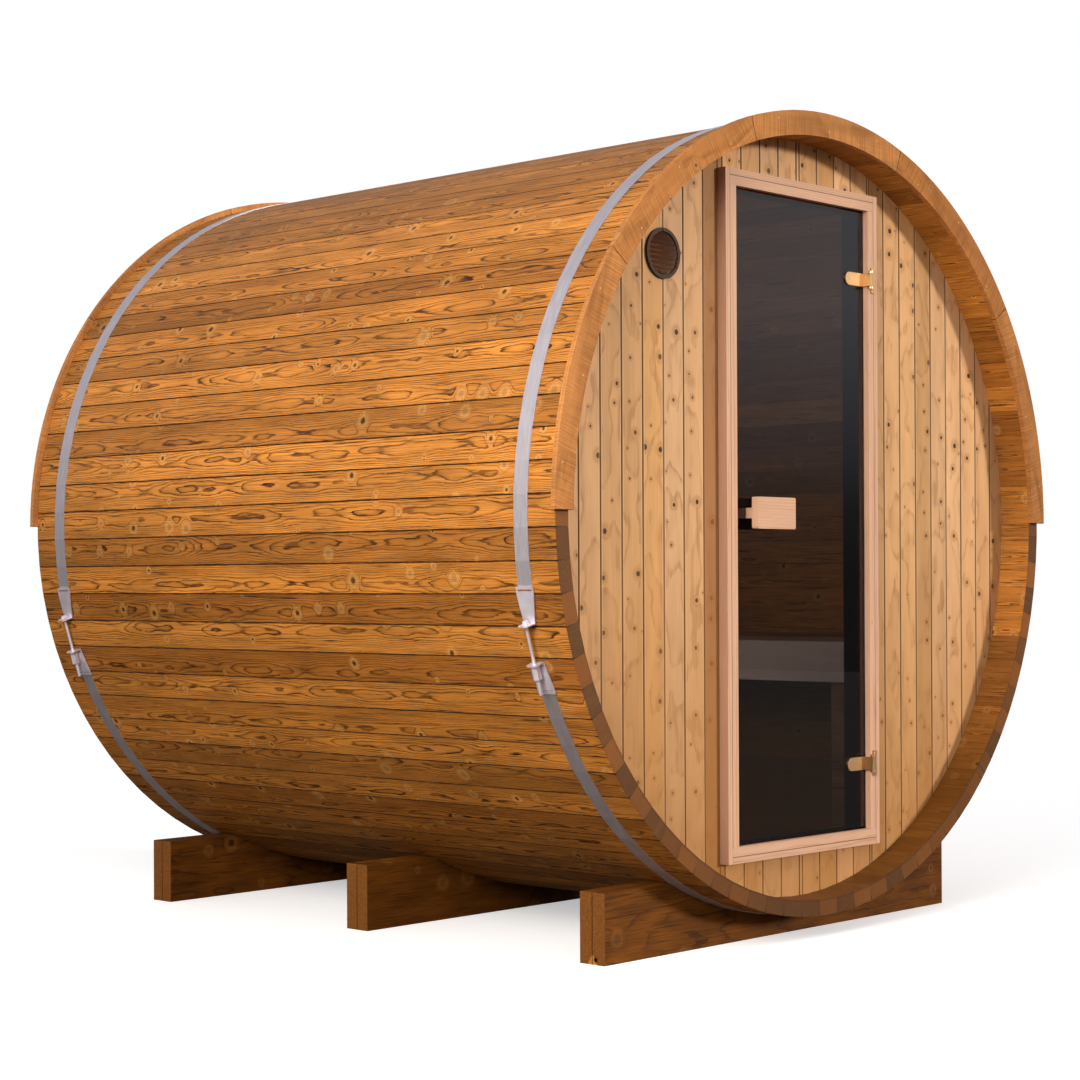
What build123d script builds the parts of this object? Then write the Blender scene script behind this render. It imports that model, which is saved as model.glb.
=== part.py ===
from build123d import *
import math
import os

# Barrel sauna, millimetres. The barrel lies along Y with its door end at -Y.
# The origin is on the ground under the middle of the barrel.

# Barrel shell
stave_face_radius = 1020.0
stave_thickness = 42.0
stave_length = 2015.0
stave_count = 84
ground_clearance = 58.0
bead_radius = 23.0
bead_facets = 3
nib_width = 2.0
stave_edge_chamfer = 1.5
stave_play = 0.3
croze_depth = 8.0

# Staves counted each way from the lowest one, by group
bottom_group_half = 7
lower_side_group = 14
upper_side_group = 13

# Fascia half rings on both ends
fascia_thickness = 14.0
fascia_overhang = 16.0
fascia_width = 62.0
fascia_segments = 5
fascia_joint = 0.6

# End walls
wall_thickness = 42.0
wall_recess = 93.0
wall_seat_gap = 0.3
wall_middle_x = 7.0
wall_over_door = 115.4
wall_under_door = 116.6

# Door frame, glass leaf and its clearances
frame_half_width = 324.0
frame_depth = 90.0
frame_proud = 26.0
casing_width = 17.0
lining_width = 25.0
frame_joint = 0.3
pane_thickness = 8.0
pane_setback = 16.0
pane_gap = 5.0

# Wooden door handle
handle_length = 156.0
handle_height = 80.0
handle_thickness = 19.0
handle_standoff = 31.5
handle_edge_inset = 33.0
handle_above_axis = 9.0
handle_corner_radius = 5.0
stub_size = 26.0
stub_inset = 15.0

# Brass hinges
lower_hinge_inset = 175.0
upper_hinge_inset = 185.0
hinge_plate_height = 68.0
hinge_plate_width = 15.0
hinge_plate_thickness = 4.0
hinge_axis_inset = 2.0
hinge_axis_proud = 8.0
hinge_lug_relief = 0.5
knuckle_radius = 6.0
knuckle_height = 34.0
pin_radius = 3.0
pin_clearance = 0.1
knuckle_end_play = 0.5
lug_height = 6.0
tongue_length = 80.0
tongue_height = 35.0
tongue_thickness = 4.0
hinge_plate_gap = 2.0

# Round wall vent
vent_edge_distance = 153.0
vent_angle = 130.4
vent_rim_radius = 62.0
vent_rim_width = 9.0
vent_rim_thickness = 7.0
vent_hole_radius = 50.0
louvre_count = 9
louvre_thickness = 1.6
louvre_depth = 8.0
louvre_tilt = 35.0

# Steel hoops and their tensioners
band_width = 44.0
band_thickness = 1.5
band_seat_gap = 0.3
band_cradle_gap = 0.5
upper_slot_angle = 190.2
upper_ear_angle = 194.6
lower_ear_angle = 199.8
lower_slot_angle = 203.8
bracket_width = 54.0
bracket_neck_width = 34.0
bracket_thickness = 3.0
bracket_margin = 8.0
slot_width = 4.0
slot_clearance = 2.0
ear_reach = 32.0
ear_corner_radius = 11.0
rod_radius = 4.0
rod_standoff = 17.0
rod_clearance = 0.8
rod_end_reach = 74.0
head_width = 14.0
head_height = 7.0
nut_width = 19.0
nut_length = 33.0

# Cradles that the barrel lies in
cradle_half_length = 716.5
cradle_height = 173.0
plank_thickness = 39.5
plank_joint = 0.2
cradle_setback = 130.6
cradle_seat_gap = 0.3

# Bench along the right side
bench_wall_gap = 13.0
bench_below_axis = 333.0
slat_width = 90.0
slat_gap = 10.0
slat_thickness = 42.0
slat_count = 5
bench_end_gap = 8.0
apron_height = 70.0
apron_thickness = 28.0
apron_setback = 5.0
leg_size = 60.0
leg_offset = 727.0
bearer_height = 60.0
bearer_width = 42.0
bench_joint = 0.3

# How far a cutting shape runs past the face it cuts
overcut = 1.0

# Sizes worked out from the ones above
axis_height = ground_clearance + stave_face_radius
half_pitch = math.pi / stave_count
shell_corner_radius = stave_face_radius / math.cos(half_pitch)
inner_face_radius = stave_face_radius - stave_thickness
barrel_front = -stave_length / 2
wall_front = barrel_front + wall_recess
wall_back = wall_front + wall_thickness
wall_radius = inner_face_radius + croze_depth - wall_seat_gap
frame_bottom = axis_height - wall_radius + wall_under_door
frame_top = axis_height + wall_radius - wall_over_door
frame_front = wall_front - frame_proud
frame_back = frame_front + frame_depth
pane_front = frame_front + pane_setback
pane_back = pane_front + pane_thickness
clear_half_width = frame_half_width - casing_width - lining_width
clear_bottom = frame_bottom + casing_width + lining_width
clear_top = frame_top - casing_width - lining_width
hinge_x = clear_half_width + hinge_axis_inset
hinge_y = frame_front - hinge_axis_proud
hinge_heights = (clear_bottom + lower_hinge_inset, clear_top - upper_hinge_inset)
vent_x = (wall_radius - vent_edge_distance) * math.cos(math.radians(vent_angle))
vent_z = axis_height + (wall_radius - vent_edge_distance) * math.sin(math.radians(vent_angle))


def polar(radius, degrees):
    """Point on the end view, measured from the barrel's axis."""
    angle = math.radians(degrees)
    return (radius * math.cos(angle), axis_height + radius * math.sin(angle))


def along_y(sketch, y_low, y_high):
    """Solid with the given end view between two places along the barrel."""
    return Pos(0, y_high, 0) * extrude(Plane.XZ * sketch, amount=y_high - y_low, dir=(0, -1, 0))


def block(x_low, x_high, y_low, y_high, z_low, z_high):
    """Plain board between two corners."""
    size = (x_high - x_low, y_high - y_low, z_high - z_low)
    middle = ((x_low + x_high) / 2, (y_low + y_high) / 2, (z_low + z_high) / 2)
    return Pos(*middle) * Box(*size)


def ring_sector(inner_radius, outer_radius, start, end):
    """End view of a piece of a ring round the barrel's axis, angles in degrees."""
    middle = (start + end) / 2
    outline = [
        ThreePointArc(polar(outer_radius, start), polar(outer_radius, middle), polar(outer_radius, end)),
        Line(polar(outer_radius, end), polar(inner_radius, end)),
        ThreePointArc(polar(inner_radius, end), polar(inner_radius, middle), polar(inner_radius, start)),
        Line(polar(inner_radius, start), polar(outer_radius, start)),
    ]
    return make_face(outline)


def stave_side(joint):
    """Points down one edge of a stave that is drawn at the crown of the barrel.

    The edge follows the radial seam. A bead swells past the seam, a cove is hollowed
    round the neighbour's bead. Both are planed as a few flats along one arc.
    """
    sine, cosine = math.sin(half_pitch), math.cos(half_pitch)
    half_chord = stave_thickness / 2 - nib_width
    centre_depth = math.sqrt(bead_radius**2 - half_chord**2)
    flat = -stave_play / 2
    middle = stave_face_radius - stave_thickness / 2

    def point(along, across):
        return (along * sine + across * cosine, along * cosine - across * sine)

    side = 1 if joint == "bead" else -1
    radius = bead_radius if joint == "bead" else bead_radius + stave_play
    centre = -side * centre_depth
    reach = math.acos((side * flat + centre_depth) / radius)
    round_part = []
    for number in range(bead_facets + 1):
        turn = reach - 2 * reach * number / bead_facets
        round_part.append(point(middle + radius * math.sin(turn), centre + side * radius * math.cos(turn)))
    outer = (stave_face_radius + flat * sine) / cosine
    inner = (inner_face_radius + flat * sine) / cosine
    return [
        (point(outer, flat)[0] - stave_edge_chamfer, stave_face_radius),
        point(outer - stave_edge_chamfer, flat),
        *round_part,
        point(inner, flat),
    ]


def make_stave(left_joint, right_joint):
    """One stave at the crown, with the crozes that hold the end walls."""
    right = stave_side(right_joint)
    left = [(-x, y) for x, y in stave_side(left_joint)]
    outline = Polyline(*right, *reversed(left), close=True)
    stave = along_y(make_face(outline), -stave_length / 2, stave_length / 2)
    groove = Box(4 * stave_thickness, wall_thickness + 2 * wall_seat_gap, 2 * croze_depth)
    for wall_middle in (wall_front + wall_thickness / 2, -wall_front - wall_thickness / 2):
        stave -= Pos(0, wall_middle, inner_face_radius) * groove
    return stave


def place_stave(stave, degrees):
    """Turn a crown stave to its place and lift it to the barrel's axis."""
    return Pos(0, 0, axis_height) * Rot(0, 90 - degrees, 0) * stave


def make_stave_groups():
    """All staves: beads face up on both sides, so the lowest has two and the crown none."""
    pitch = 360 / stave_count
    left_stave = make_stave("cove", "bead")
    right_stave = mirror(left_stave, about=Plane.YZ)
    side_count = stave_count // 2 - 1
    groups = {
        "staves_bottom": [place_stave(make_stave("bead", "bead"), 270)],
        "staves_left_lower": [],
        "staves_left_upper": [],
        "staves_top": [place_stave(make_stave("cove", "cove"), 90)],
        "staves_right_lower": [],
        "staves_right_upper": [],
    }
    for number in range(1, side_count + 1):
        if number <= bottom_group_half:
            names = ("staves_bottom", "staves_bottom")
        elif number <= bottom_group_half + lower_side_group:
            names = ("staves_left_lower", "staves_right_lower")
        elif number <= bottom_group_half + lower_side_group + upper_side_group:
            names = ("staves_left_upper", "staves_right_upper")
        else:
            names = ("staves_top", "staves_top")
        groups[names[0]].append(place_stave(left_stave, 270 - number * pitch))
        groups[names[1]].append(place_stave(right_stave, 270 + number * pitch))
    return groups


def make_fascia(y_low, y_high):
    """Upper half ring of sawn boards on one end of the barrel."""
    outer = stave_face_radius + fascia_overhang
    inner = outer - fascia_width
    step = 180 / fascia_segments
    joint_angle = math.degrees(fascia_joint / 2 / inner)
    boards = []
    for number in range(fascia_segments):
        start = number * step + (joint_angle if number > 0 else 0)
        end = (number + 1) * step - (joint_angle if number < fascia_segments - 1 else 0)
        boards.append(along_y(ring_sector(inner, outer, start, end), y_low, y_high))
    return boards


def wall_part(x_low, x_high, z_low, z_high):
    """End view of the part of an end wall that lies in the given window."""
    disc = Pos(0, axis_height) * Circle(wall_radius)
    window = Pos((x_low + x_high) / 2, (z_low + z_high) / 2) * Rectangle(x_high - x_low, z_high - z_low)
    return disc & window


def make_front_wall():
    """Door wall: a side piece each side of the frame, one over it and one under it."""
    edge = frame_half_width + wall_seat_gap
    floor, crown = 0, 2 * axis_height
    left = wall_part(-wall_radius - overcut, -edge, floor, crown)
    left -= Pos(vent_x, vent_z) * Circle(vent_hole_radius)
    views = {
        "front_wall_left": left,
        "front_wall_right": wall_part(edge, wall_radius + overcut, floor, crown),
        "front_wall_over_door": wall_part(-edge, edge, frame_top + wall_seat_gap, crown),
        "front_wall_under_door": wall_part(-edge, edge, floor, frame_bottom - wall_seat_gap),
    }
    return {name: along_y(view, wall_front, wall_back) for name, view in views.items()}


def make_back_wall():
    """Plain wall in two halves that meet at the middle joint."""
    floor, crown = 0, 2 * axis_height
    left = wall_part(-wall_radius - overcut, -wall_middle_x, floor, crown)
    right = wall_part(-wall_middle_x, wall_radius + overcut, floor, crown)
    return {
        "back_wall_left": along_y(left, -wall_back, -wall_front),
        "back_wall_right": along_y(right, -wall_back, -wall_front),
    }


def make_door_frame():
    """Outer casing whose sides run full height, and a lining whose rails run across."""
    outer = frame_half_width
    inner = outer - casing_width
    lining_outer = inner - frame_joint
    low, high = frame_bottom, frame_top
    rail_low, rail_high = low + casing_width, high - casing_width
    lining_low, lining_high = rail_low + frame_joint, rail_high - frame_joint
    front, back = frame_front, frame_back
    gap = frame_joint
    return {
        "casing_left": block(-outer, -inner, front, back, low, high),
        "casing_right": block(inner, outer, front, back, low, high),
        "casing_head": block(-inner + gap, inner - gap, front, back, rail_high, high),
        "casing_sill": block(-inner + gap, inner - gap, front, back, low, rail_low),
        "lining_head": block(-lining_outer, lining_outer, front, back, clear_top, lining_high),
        "lining_sill": block(-lining_outer, lining_outer, front, back, lining_low, clear_bottom),
        "lining_left": block(
            -lining_outer, -clear_half_width, front, back, clear_bottom + gap, clear_top - gap
        ),
        "lining_right": block(
            clear_half_width, lining_outer, front, back, clear_bottom + gap, clear_top - gap
        ),
    }


def make_door():
    """Frameless glass leaf with a wooden grip on each face."""
    half = clear_half_width - pane_gap
    pane = block(-half, half, pane_front, pane_back, clear_bottom + pane_gap, clear_top - pane_gap)
    x_low = -half + handle_edge_inset
    x_high = x_low + handle_length
    handle_z = axis_height + handle_above_axis
    z_low, z_high = handle_z - handle_height / 2, handle_z + handle_height / 2
    outer_back = pane_front - handle_standoff
    inner_front = pane_back + handle_standoff
    stub_low, stub_high = handle_z - stub_size / 2, handle_z + stub_size / 2
    stubs = []
    for stub_x in (x_low + stub_inset, x_high - stub_inset - stub_size):
        stubs.append(block(stub_x, stub_x + stub_size, outer_back, pane_front, stub_low, stub_high))
        stubs.append(block(stub_x, stub_x + stub_size, pane_back, inner_front, stub_low, stub_high))
    grips = {
        "handle_outer": block(x_low, x_high, outer_back - handle_thickness, outer_back, z_low, z_high),
        "handle_inner": block(x_low, x_high, inner_front, inner_front + handle_thickness, z_low, z_high),
    }
    rounded = {}
    for name, grip in grips.items():
        rounded[name] = fillet(grip.edges().filter_by(Axis.Y), handle_corner_radius)
    return {"door_glass": pane, "handle_stubs": stubs, **rounded}


def make_hinge(height):
    """One glass-door hinge: fixed plate with pin and lugs, swinging tongue and rear clamp."""
    plate_low = hinge_x + knuckle_radius + hinge_plate_gap
    plate = block(
        plate_low,
        plate_low + hinge_plate_width,
        frame_front - hinge_plate_thickness,
        frame_front,
        height - hinge_plate_height / 2,
        height + hinge_plate_height / 2,
    )
    knuckle_half = knuckle_height / 2
    for side in (-1, 1):
        lug_middle = height + side * (knuckle_half + knuckle_end_play + lug_height / 2)
        plate += Pos(hinge_x, hinge_y, lug_middle) * Cylinder(knuckle_radius, lug_height)
        plate += block(
            hinge_x,
            plate_low + overcut,
            frame_front - hinge_plate_thickness,
            frame_front - hinge_lug_relief,
            lug_middle - lug_height / 2,
            lug_middle + lug_height / 2,
        )
    pin_height = knuckle_height + 2 * knuckle_end_play + lug_height
    plate += Pos(hinge_x, hinge_y, height) * Cylinder(pin_radius, pin_height)

    tongue_end = clear_half_width - pane_gap
    tongue_front = pane_front - tongue_thickness
    end_radius = tongue_height / 2
    outline = Pos(tongue_end - (tongue_length - end_radius) / 2, height) * Rectangle(
        tongue_length - end_radius, tongue_height
    )
    outline += Pos(tongue_end - tongue_length + end_radius, height) * Circle(end_radius)
    tongue = along_y(outline, tongue_front, pane_front)
    clamp = along_y(outline, pane_back, pane_back + tongue_thickness)
    arm_front = hinge_y - knuckle_radius
    tongue += block(
        tongue_end - tongue_thickness,
        tongue_end,
        arm_front,
        pane_front,
        height - knuckle_half,
        height + knuckle_half,
    )
    tongue += block(
        tongue_end - tongue_thickness,
        hinge_x,
        arm_front,
        arm_front + tongue_thickness,
        height - knuckle_half,
        height + knuckle_half,
    )
    tongue += Pos(hinge_x, hinge_y, height) * Cylinder(knuckle_radius, knuckle_height)
    tongue -= Pos(hinge_x, hinge_y, height) * Cylinder(pin_radius + pin_clearance, 2 * knuckle_height)
    return plate, tongue, clamp


def make_vent():
    """Round vent cover with sloping louvres in front of the hole in the wall."""
    centre = Pos(vent_x, vent_z)
    inner = vent_rim_radius - vent_rim_width
    rim = along_y(
        centre * (Circle(vent_rim_radius) - Circle(inner)), wall_front - vent_rim_thickness, wall_front
    )
    louvres = []
    pitch = 2 * inner / louvre_count
    tilt = math.radians(louvre_tilt)
    half_rise = (louvre_depth * math.cos(tilt) + louvre_thickness * math.sin(tilt)) / 2
    for number in range(louvre_count):
        height = (number + 0.5) * pitch - inner
        far_edge = abs(height) + half_rise
        half_chord = math.sqrt(inner**2 - far_edge**2)
        slat = Box(2 * half_chord, louvre_thickness, louvre_depth)
        place = Pos(vent_x, wall_front - vent_rim_thickness / 2, vent_z + height)
        louvres.append(place * Rot(-louvre_tilt, 0, 0) * slat)
    return rim, louvres


def make_band(y_low):
    """Steel hoop drawn flat over every stave, open between the slots of its tensioner."""
    inner = stave_face_radius + band_seat_gap
    outer = inner + band_thickness
    flats = Rot(0, 0, math.degrees(half_pitch))
    hoop = RegularPolygon(outer, stave_count, major_radius=False)
    hoop = Pos(0, axis_height) * flats * (hoop - RegularPolygon(inner, stave_count, major_radius=False))
    reach = 2 * stave_face_radius
    centre = (0, axis_height)
    wedge = make_face(
        Polyline(
            centre,
            polar(reach, upper_slot_angle),
            polar(reach, lower_slot_angle),
            centre,
        )
    )
    return along_y(hoop - wedge, y_low, y_low + band_width)


def round_the_barrel(radius, degrees, y):
    """Frame on the shell: local x up the barrel's side, y along Y, z outwards."""
    angle = math.radians(degrees)
    x, z = polar(radius, degrees)
    outward = Vector(math.cos(angle), 0, math.sin(angle))
    along = Vector(0, 1, 0).cross(outward)
    return Plane(origin=(x, y, z), x_dir=along, z_dir=outward)


def make_bracket(slot_angle, ear_angle, y):
    """Tapered plate with a slot for the hoop and an ear turned outwards for the rod."""
    low = shell_corner_radius + band_seat_gap + band_thickness + band_seat_gap
    margin = math.degrees(bracket_margin / low)
    toward_ear = 1 if ear_angle > slot_angle else -1
    far_end = slot_angle - toward_ear * margin
    start, end = min(far_end, ear_angle), max(far_end, ear_angle)
    strip = ring_sector(low, low + bracket_thickness, start, end)
    plate = along_y(strip, y - bracket_width / 2, y + bracket_width / 2)
    middle = (start + end) / 2
    half_length = low * math.radians(end - start) / 2
    frame = round_the_barrel(low, middle, y)
    toward_slot = 1 if far_end < middle else -1
    taper = make_face(
        Polyline(
            (toward_slot * (half_length + overcut), bracket_width / 2),
            (toward_slot * (half_length - 2 * bracket_margin), bracket_width / 2),
            (-toward_slot * (half_length + overcut), bracket_neck_width / 2),
            (-toward_slot * (half_length + overcut), -bracket_neck_width / 2),
            (toward_slot * (half_length - 2 * bracket_margin), -bracket_width / 2),
            (toward_slot * (half_length + overcut), -bracket_width / 2),
            (toward_slot * (half_length + overcut), bracket_width / 2),
        )
    )
    plate &= extrude(frame * taper, amount=4 * bracket_margin, both=True)
    slot_frame = round_the_barrel(low, slot_angle, y)
    slot = slot_frame * Rectangle(slot_width, band_width + slot_clearance)
    plate -= extrude(slot, amount=bracket_margin, both=True)
    ear_frame = round_the_barrel(low, ear_angle, y)
    ear_plane = Plane(origin=ear_frame.origin, x_dir=(0, 1, 0), z_dir=ear_frame.x_dir)
    outward = 1 if ear_plane.y_dir.dot(ear_frame.z_dir) > 0 else -1
    ear_view = Pos(0, outward * ear_reach / 2) * RectangleRounded(
        bracket_neck_width, ear_reach, ear_corner_radius
    )
    ear_view += Pos(0, outward * ear_reach / 4) * Rectangle(bracket_neck_width, ear_reach / 2)
    ear_view -= Pos(0, outward * (rod_standoff - low + shell_corner_radius)) * Circle(
        rod_radius + rod_clearance
    )
    ear = extrude(ear_plane * ear_view, amount=bracket_thickness / 2, both=True)
    return plate + ear


def make_tensioner(y):
    """Two brackets drawn together by a rod, with its head above and its long nut below."""
    upper = make_bracket(upper_slot_angle, upper_ear_angle, y)
    lower = make_bracket(lower_slot_angle, lower_ear_angle, y)
    middle = (upper_ear_angle + lower_ear_angle) / 2
    half_span = (shell_corner_radius + rod_standoff) * math.radians(lower_ear_angle - middle)
    frame = round_the_barrel(shell_corner_radius + rod_standoff, middle, y)
    up = frame.x_dir
    head_base = half_span + bracket_thickness
    rod_top = head_base + head_height
    rod_bottom = -half_span - rod_end_reach
    rod_plane = Plane(origin=frame.origin + up * rod_bottom, z_dir=up)
    rod = extrude(rod_plane * Circle(rod_radius), amount=rod_top - rod_bottom)
    head_plane = Plane(origin=frame.origin + up * head_base, z_dir=up)
    rod += extrude(head_plane * RegularPolygon(head_width / 2, 6, major_radius=False), amount=head_height)
    nut_top = -half_span - bracket_thickness
    nut_plane = Plane(origin=frame.origin + up * (nut_top - nut_length), z_dir=up)
    rod += extrude(nut_plane * RegularPolygon(nut_width / 2, 6, major_radius=False), amount=nut_length)
    return [upper, lower, rod]


def make_cradle(y_low):
    """Two planks side by side, hollowed to the barrel."""
    seat = Pos(0, axis_height) * Circle(shell_corner_radius + cradle_seat_gap)
    view = Pos(0, cradle_height / 2) * Rectangle(2 * cradle_half_length, cradle_height) - seat
    second = y_low + plank_thickness + plank_joint
    return [
        along_y(view, y_low, y_low + plank_thickness),
        along_y(view, second, second + plank_thickness),
    ]


def make_bench():
    """Slatted bench on legs, scribed to the staves."""
    room = Pos(0, axis_height) * Circle(inner_face_radius - bench_joint)
    bore = along_y(room, wall_back, -wall_back)
    y_low, y_high = wall_back + bench_end_gap, -wall_back - bench_end_gap
    bench_top = axis_height - bench_below_axis
    slat_bottom = bench_top - slat_thickness
    drop = axis_height - slat_bottom
    back_edge = math.sqrt(inner_face_radius**2 - drop**2) - bench_wall_gap
    front_edge = back_edge - slat_count * slat_width - (slat_count - 1) * slat_gap
    slats = []
    for number in range(slat_count):
        x_low = front_edge + number * (slat_width + slat_gap)
        slats.append(block(x_low, x_low + slat_width, y_low, y_high, slat_bottom, bench_top))
    support_top = slat_bottom - bench_joint
    apron_x = front_edge + apron_setback
    apron = block(
        apron_x, apron_x + apron_thickness, y_low, y_high, support_top - apron_height, support_top
    )
    leg_x = apron_x + apron_thickness + bench_joint
    bearer_x = leg_x + leg_size + bench_joint
    legs, bearers = [], []
    for y in (-leg_offset, 0, leg_offset):
        leg = block(leg_x, leg_x + leg_size, y - leg_size / 2, y + leg_size / 2, 0, support_top)
        legs.append(leg & bore)
        bearer = block(
            bearer_x,
            inner_face_radius,
            y - bearer_width / 2,
            y + bearer_width / 2,
            support_top - bearer_height,
            support_top,
        )
        bearers.append(bearer & bore)
    return {"bench_slats": slats, "bench_apron": apron, "bench_legs": legs, "bench_bearers": bearers}


def make_all():
    """Every sub-part by name."""
    nodes = make_stave_groups()
    nodes["fascia_front"] = make_fascia(barrel_front - fascia_thickness, barrel_front)
    nodes["fascia_back"] = make_fascia(-barrel_front, -barrel_front + fascia_thickness)
    nodes.update(make_front_wall())
    nodes.update(make_back_wall())
    nodes.update(make_door_frame())
    nodes.update(make_door())
    plates, tongues, clamps = zip(*(make_hinge(height) for height in hinge_heights))
    nodes["hinge_plates"] = list(plates)
    nodes["hinge_tongues"] = list(tongues)
    nodes["hinge_clamps"] = list(clamps)
    nodes["vent_rim"], nodes["vent_louvres"] = make_vent()
    band_front = barrel_front + cradle_setback - band_cradle_gap - band_width
    band_back = -band_front - band_width
    for name, y_low in (("front", band_front), ("rear", band_back)):
        nodes["band_" + name] = make_band(y_low)
        nodes["tensioner_" + name] = make_tensioner(y_low + band_width / 2)
    cradle_width = 2 * plank_thickness + plank_joint
    cradle_starts = {
        "front": barrel_front + cradle_setback,
        "middle": -cradle_width / 2,
        "rear": -barrel_front - cradle_setback - cradle_width,
    }
    for name, y_low in cradle_starts.items():
        first, second = make_cradle(y_low)
        nodes["cradle_" + name + "_plank_a"] = first
        nodes["cradle_" + name + "_plank_b"] = second
    nodes.update(make_bench())
    return nodes


for node_name, pieces in make_all().items():
    solids = pieces if isinstance(pieces, list) else [pieces]
    children = [solid for piece in solids for solid in piece.solids()]
    shape = Compound(children=children) if len(children) > 1 else children[0]
    export_step(shape, "parts/" + node_name + ".step")
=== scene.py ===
# %% [markdown]
# Barrel sauna: boards, finishes and small fittings
#
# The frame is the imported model: staves, hoops, cradles, door and bench at their real size, in metres,
# with the origin on the ground under the middle of the barrel. The door end looks along -Y.
# Everything below either gives one of those pieces its surface or adds what is too small for the frame,
# such as the separate boards of the end walls, the screws and a fly mesh.

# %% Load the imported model
import math

import bmesh
import bpy
from mathutils import Matrix, Vector


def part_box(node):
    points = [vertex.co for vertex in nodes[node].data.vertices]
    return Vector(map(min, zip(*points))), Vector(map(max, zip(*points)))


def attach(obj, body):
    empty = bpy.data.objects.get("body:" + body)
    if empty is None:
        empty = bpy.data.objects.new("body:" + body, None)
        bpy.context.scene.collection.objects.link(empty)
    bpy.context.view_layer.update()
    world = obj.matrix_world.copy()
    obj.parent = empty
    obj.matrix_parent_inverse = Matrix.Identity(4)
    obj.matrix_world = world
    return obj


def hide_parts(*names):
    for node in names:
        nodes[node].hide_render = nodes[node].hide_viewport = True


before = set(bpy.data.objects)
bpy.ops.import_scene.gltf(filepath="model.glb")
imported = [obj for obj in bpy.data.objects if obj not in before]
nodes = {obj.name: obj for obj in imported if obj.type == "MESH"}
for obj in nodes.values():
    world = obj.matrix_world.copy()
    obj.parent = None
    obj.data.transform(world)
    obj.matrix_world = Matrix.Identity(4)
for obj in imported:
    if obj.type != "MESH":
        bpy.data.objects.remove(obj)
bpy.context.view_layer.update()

MM = 0.001
TO_MM = 1000.0
print("pieces in the frame:", len(nodes))

# %% [markdown]
# Sizes that the frame already holds
#
# The barrel's axis, radius and ends are read from the boxes of the staves and not typed again, so a
# changed frame carries the boards, nails and grain with it. A barrel of 84 staves turns by 4.29 degrees
# from one stave to the next, and the lowest stave is centred under the axis.

# %% Read the main sizes
bottom_low, bottom_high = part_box("staves_bottom")
top_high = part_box("staves_top")[1]
STAVES = 84
STAVE_PITCH = math.tau / STAVES
STAVE_THICK_MM = 42.0
AXIS_MM = (bottom_low[2] + top_high[2]) / 2 * TO_MM
RADIUS_MM = (top_high[2] - bottom_low[2]) / 2 * TO_MM
HALF_STAVE_MM = math.pi * RADIUS_MM / STAVES
BARREL_END_MM = bottom_high[1] * TO_MM
barrel_length = (bottom_high[1] - bottom_low[1]) * TO_MM
print(f"axis {AXIS_MM:.1f} mm up, radius {RADIUS_MM:.1f} mm, {barrel_length:.0f} mm long")

# %% [markdown]
# The camera stands where the photographer stood
#
# A long lens at chest height, turned towards the door end, gives the calm perspective of the photograph.
# Its place and direction come from matching the ends of the barrel, the door frame and the cradles.
# The small shift says that the picture was cut a little off the middle of the lens.

# %% Camera
CAMERA_PLACE = Vector((-4.7864, -4.5318, 0.9163))
CAMERA_YAW = math.radians(-47.2277)
CAMERA_PITCH = math.radians(0.2465)
CAMERA_ROLL = math.radians(-0.2517)
LENS_MM = 76.585
SENSOR_MM = 36.0
SHIFT_RIGHT = -0.02675
SHIFT_UP = 0.02929

camera_data = bpy.data.cameras.new("camera")
camera_data.lens = LENS_MM
camera_data.sensor_width = SENSOR_MM
camera_data.shift_x = SHIFT_RIGHT
camera_data.shift_y = SHIFT_UP
camera = bpy.data.objects.new("camera", camera_data)
bpy.context.scene.collection.objects.link(camera)
level = Matrix.Rotation(math.radians(90) + CAMERA_PITCH, 4, "X")
camera.matrix_world = (
    Matrix.Translation(CAMERA_PLACE) @ Matrix.Rotation(CAMERA_YAW, 4, "Z") @ level
    @ Matrix.Rotation(CAMERA_ROLL, 4, "Z")
)
bpy.context.scene.camera = camera
print("camera looks along", tuple(round(x, 4) for x in camera.matrix_world.to_3x3() @ Vector((0, 0, -1))))

# %% [markdown]
# Helpers for every finish
#
# Paint makers and screens give colours as sRGB hex values, while the renderer counts in linear light, so
# one function turns one into the other. Another adds a shader node of any kind. A node's mode may follow
# its kind after a dot, as in Math.ADD, and its inputs read numbers, hex colours, other nodes or single
# outputs, in their order or by name. Materials are then short lists of what happens to the surface.

# %% Colour and node helpers
MODES = {"Math": "operation", "VectorMath": "operation", "Mix": "data_type"}


def colour(hex_value):
    """An sRGB hex value as linear red, green, blue and alpha."""
    parts = [int(hex_value[i:i + 2], 16) / 255 for i in (1, 3, 5)]
    return tuple(c / 12.92 if c <= 0.04045 else ((c + 0.055) / 1.055) ** 2.4 for c in parts) + (1.0,)


def feed(tree, node, reads):
    """Gives inputs of a node what they read: a number, a hex colour, another node or one of its outputs."""
    for name, value in reads.items():
        if isinstance(value, bpy.types.Node):
            value = next(output for output in value.outputs if output.enabled)
        if isinstance(value, bpy.types.NodeSocket):
            tree.links.new(value, node.inputs[name])
        else:
            node.inputs[name].default_value = colour(value) if isinstance(value, str) else value


def add(tree, kind, *reads, stops=(), **settings):
    """One shader node with its settings and with what its inputs read. A colour ramp also has stops."""
    kind, _, mode = kind.partition(".")
    node = tree.nodes.new("ShaderNode" + kind)
    if mode:
        setattr(node, MODES[kind], mode)
    for name, value in settings.items():
        setattr(node, name, value)
    if stops:
        marks = node.color_ramp.elements
        marks[0].position = stops[0][0]
        marks[1].position = stops[-1][0]
        for place, _ in stops[1:-1]:
            marks.new(place)
        for mark, (_, hex_value) in zip(marks, stops):
            mark.color = colour(hex_value)
    feed(tree, node, reads[0] if reads and isinstance(reads[0], dict) else dict(enumerate(reads)))
    return node


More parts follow.
